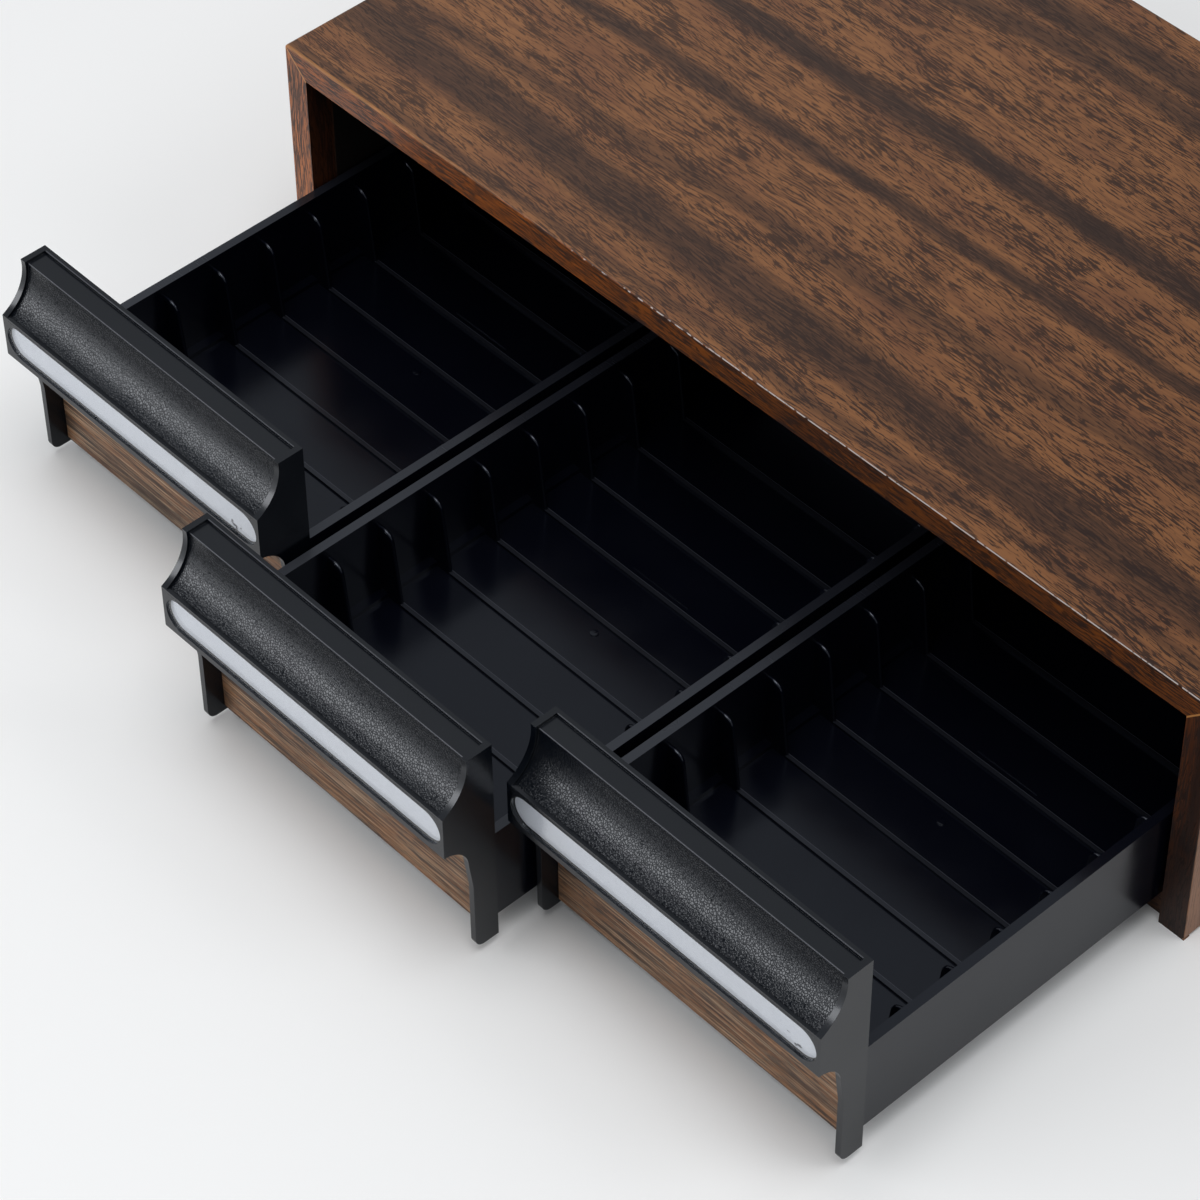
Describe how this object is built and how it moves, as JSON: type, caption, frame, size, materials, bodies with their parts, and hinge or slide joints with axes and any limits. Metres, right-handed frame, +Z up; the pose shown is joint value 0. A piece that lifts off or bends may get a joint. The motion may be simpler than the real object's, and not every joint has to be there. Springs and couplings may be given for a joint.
{
  "type": "cassette storage drawers",
  "caption": "Low tabletop cabinet in wood grain with slotted black plastic drawers for audio cassettes, pulled out by a lip under each label window.",
  "frame": {"origin": "centre of the case's underside, on the surface that the cabinet stands on", "axes": "+X along the row of drawers to the right seen from the front, +Y from the front to the back, +Z up; the drawers open towards -Y"},
  "size_m": [0.377, 0.3591, 0.094],
  "materials": {
    "wood_vinyl": "satin wood-grain vinyl wrapped over particle board",
    "hardboard": "smooth brown hardboard",
    "tray_plastic": "satin moulded black styrene",
    "grained_plastic": "moulded black styrene, leather grain on the cove",
    "wood_strip": "wood-grain faced strip",
    "label_card": "plain pale card",
    "clear_plastic": "clear glossy sheet"
  },
  "bodies": {
    "case": {"case_top": "wood_vinyl", "case_bottom": "wood_vinyl", "case_left": "wood_vinyl", "case_right": "wood_vinyl", "case_back": "hardboard"},
    "left_drawer": {"left_tray": "tray_plastic", "left_front": "grained_plastic", "left_wood_strip": "wood_strip", "left_label_card": "label_card", "left_label_window": "clear_plastic"},
    "middle_drawer": {"middle_tray": "tray_plastic", "middle_front": "grained_plastic", "middle_wood_strip": "wood_strip", "middle_label_card": "label_card", "middle_label_window": "clear_plastic"},
    "right_drawer": {"right_tray": "tray_plastic", "right_front": "grained_plastic", "right_wood_strip": "wood_strip", "right_label_card": "label_card", "right_label_window": "clear_plastic"}
  },
  "joints": [
    {"name": "left_drawer_slide", "type": "slide", "parent": "case", "child": "left_drawer", "axis": [0, -1, 0], "range_m": [-0.1036, 0.0464]},
    {"name": "middle_drawer_slide", "type": "slide", "parent": "case", "child": "middle_drawer", "axis": [0, -1, 0], "range_m": [-0.1393, 0.0107]},
    {"name": "right_drawer_slide", "type": "slide", "parent": "case", "child": "right_drawer", "axis": [0, -1, 0], "range_m": [-0.1178, 0.0322]}
  ]
}
